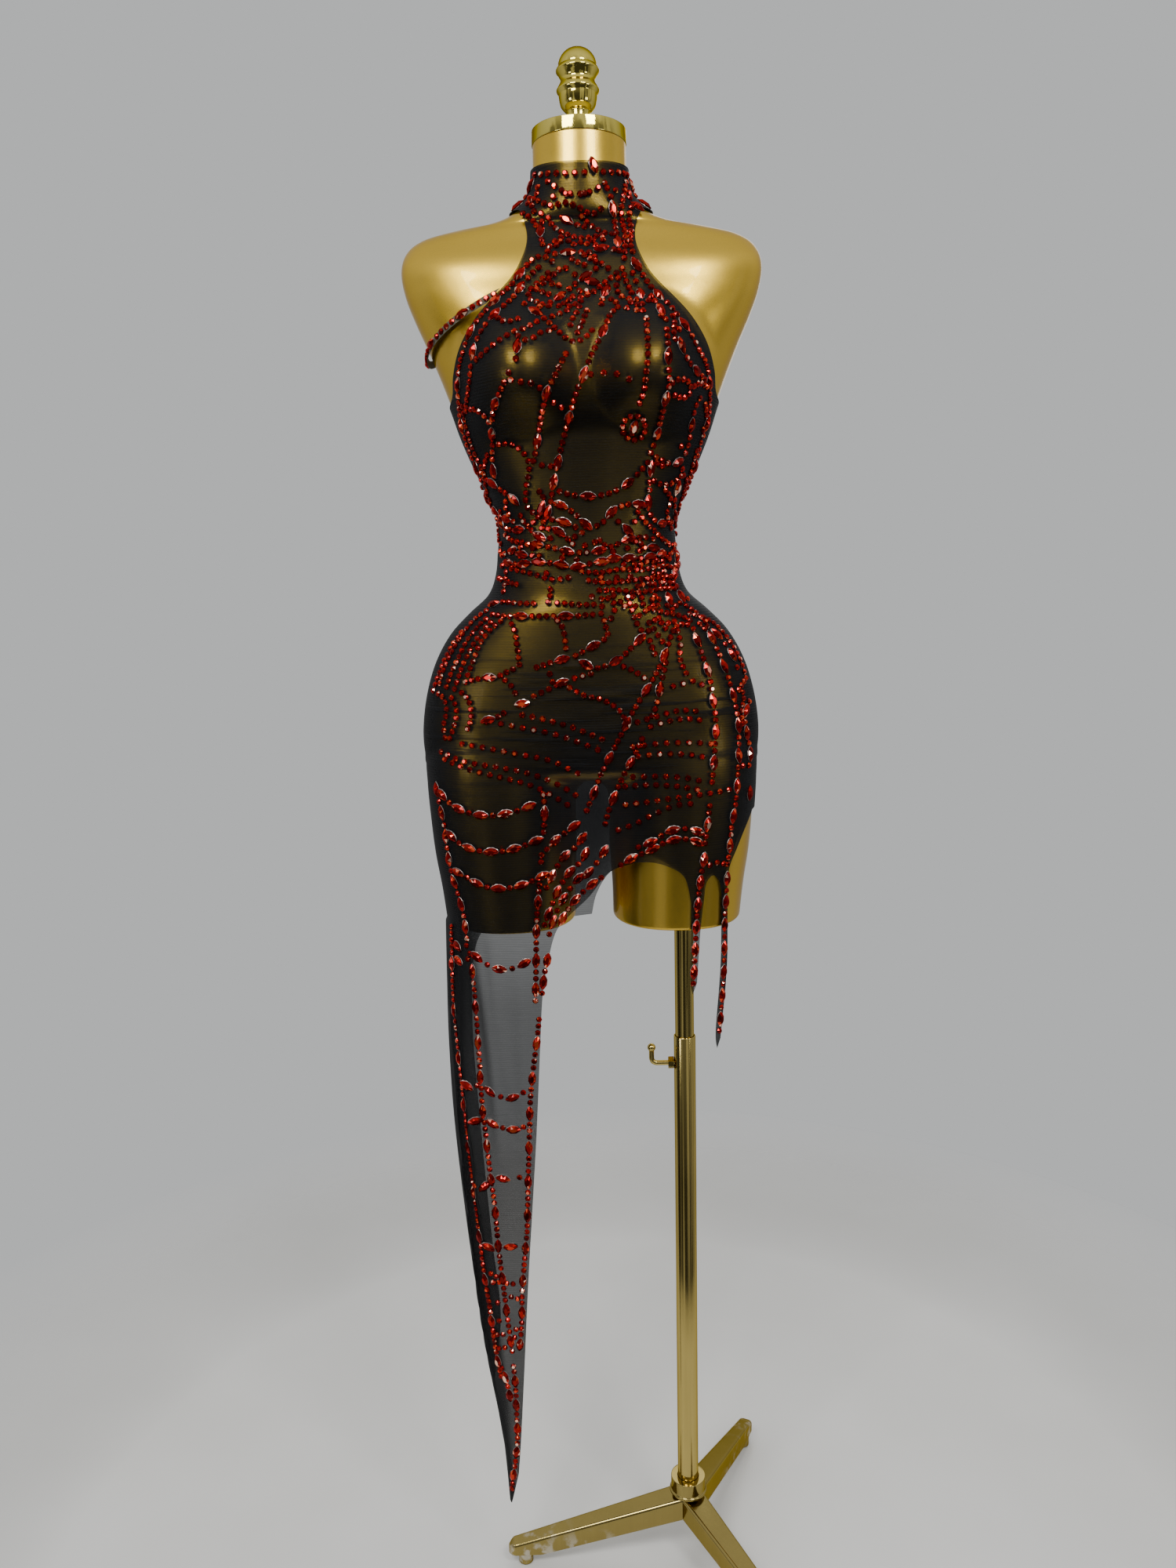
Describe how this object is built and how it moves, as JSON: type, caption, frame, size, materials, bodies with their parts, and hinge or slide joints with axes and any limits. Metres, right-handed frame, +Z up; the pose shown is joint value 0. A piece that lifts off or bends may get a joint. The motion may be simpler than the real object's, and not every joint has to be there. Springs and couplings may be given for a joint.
{
  "type": "crystal mesh stage dress on a limbless dress form with a telescopic stand",
  "caption": "Sheer stretch-mesh halter stage dress with an uneven hem, long point and hanging tails, trimmed with crystal strands, on a gold torso form with a pole stand.",
  "frame": {"origin": "middle of the footprint's bounding box, on the floor", "axes": "+Z up, -Y is the dress's front, +X is the viewer's right seen from the front; the pole's axis is at X 81.8 mm, Y -6.2 mm"},
  "size_m": [0.4204, 0.3934, 1.7471],
  "materials": {
    "sheer_mesh": "sheer black stretch power mesh, fine weave, slight sheen, trimmed with red faceted crystals",
    "gold_paint": "satin-gloss metallic gold paint on a moulded shell",
    "gold_plate": "polished gold plate",
    "champagne_brass": "polished champagne brass plate with light scratches"
  },
  "bodies": {
    "stand": {"outer_tube": "champagne_brass", "lock_nut": "champagne_brass", "hub": "champagne_brass", "leg_a": "champagne_brass", "leg_b": "champagne_brass", "leg_c": "champagne_brass", "foot_a": "champagne_brass", "foot_b": "champagne_brass", "foot_c": "champagne_brass"},
    "mast": {"mast": "champagne_brass"},
    "form": {"form_body": "gold_paint", "neck_cap": "gold_plate", "finial": "gold_plate", "dress_front": "sheer_mesh", "dress_back": "sheer_mesh", "dress_arm_strap": "sheer_mesh"},
    "lock": {"lock_lever": "champagne_brass"}
  },
  "joints": [
    {"name": "mast_slide", "type": "slide", "parent": "stand", "child": "mast", "axis": [0, 0, 1], "range_m": [-0.06, 0.25]},
    {"name": "form_swivel", "type": "hinge", "parent": "mast", "child": "form", "pos_m": [0.08182, -0.00623, 0.9], "axis": [0, 0, 1], "continuous": true},
    {"name": "lock_turn", "type": "hinge", "parent": "stand", "child": "lock", "pos_m": [0.08182, -0.00623, 0.6475], "axis": [-1, 0, 0], "range_deg": [0, 360]}
  ]
}
